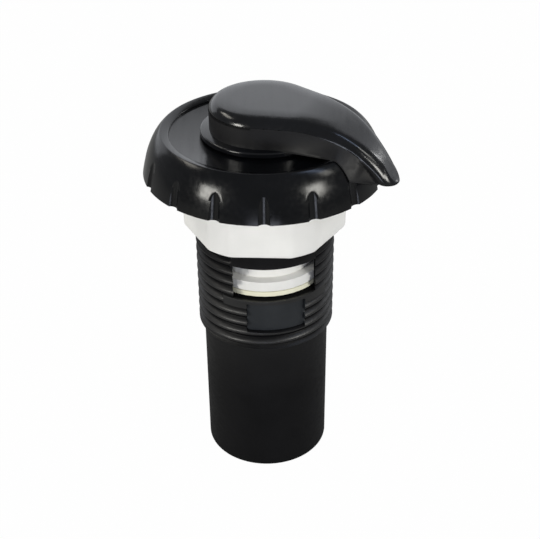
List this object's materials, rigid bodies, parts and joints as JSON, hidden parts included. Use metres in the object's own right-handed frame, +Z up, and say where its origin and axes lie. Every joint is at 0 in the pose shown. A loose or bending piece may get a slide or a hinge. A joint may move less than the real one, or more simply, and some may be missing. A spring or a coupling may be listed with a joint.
{
  "type": "air control valve",
  "caption": "Panel-mounted air control valve: threaded barrel with side air windows, slip tail, nut, scalloped dome cap and turning lever.",
  "frame": {"origin": "level with the end of the tail, under the middle of the closed valve's outline; the valve's axis is the line x = -1.24 mm, y = 0", "axes": "+Z up along the valve's axis from the tail to the lever; -Y the side of the front window and the panel; the closed lever points 28 degrees from +X towards -Y"},
  "size_m": [0.0791, 0.0766, 0.131],
  "materials": {
    "barrel_black": "satin moulded black",
    "cap_black": "satin-gloss moulded black",
    "nut_white": "satin moulded off-white",
    "poppet_white": "satin moulded white",
    "seal_cream": "matt cream sheet",
    "gasket_grey": "matt grey sheet",
    "inner_black": "satin moulded black",
    "stem_natural": "satin natural",
    "ring_black": "matt black"
  },
  "bodies": {
    "valve_body": {"body": "barrel_black", "flange_gasket": "gasket_grey", "bonnet": "inner_black", "bonnet_o_ring": "ring_black", "cap": "cap_black"},
    "lever": {"handle": "cap_black", "stem": "stem_natural", "stem_o_ring_lower": "ring_black", "stem_o_ring_upper": "ring_black"},
    "poppet": {"plunger": "poppet_white", "plunger_seal": "seal_cream"},
    "nut": {"mounting_nut": "nut_white"}
  },
  "joints": [
    {"name": "handle_turn", "type": "hinge", "parent": "valve_body", "child": "lever", "pos_m": [-0.00124, 0, 0.11948], "axis": [0, 0, 1], "range_deg": [0, 180]},
    {"name": "plunger_lift", "type": "slide", "parent": "valve_body", "child": "poppet", "axis": [0, 0, 1], "range_m": [0, 0.009]},
    {"name": "nut_travel", "type": "slide", "parent": "valve_body", "child": "nut", "axis": [0, 0, -1], "range_m": [0, 0.033]}
  ],
  "couplings": [
    {"joint": "plunger_lift", "follows": "handle_turn", "m_per_rad": 0.0028647}
  ]
}
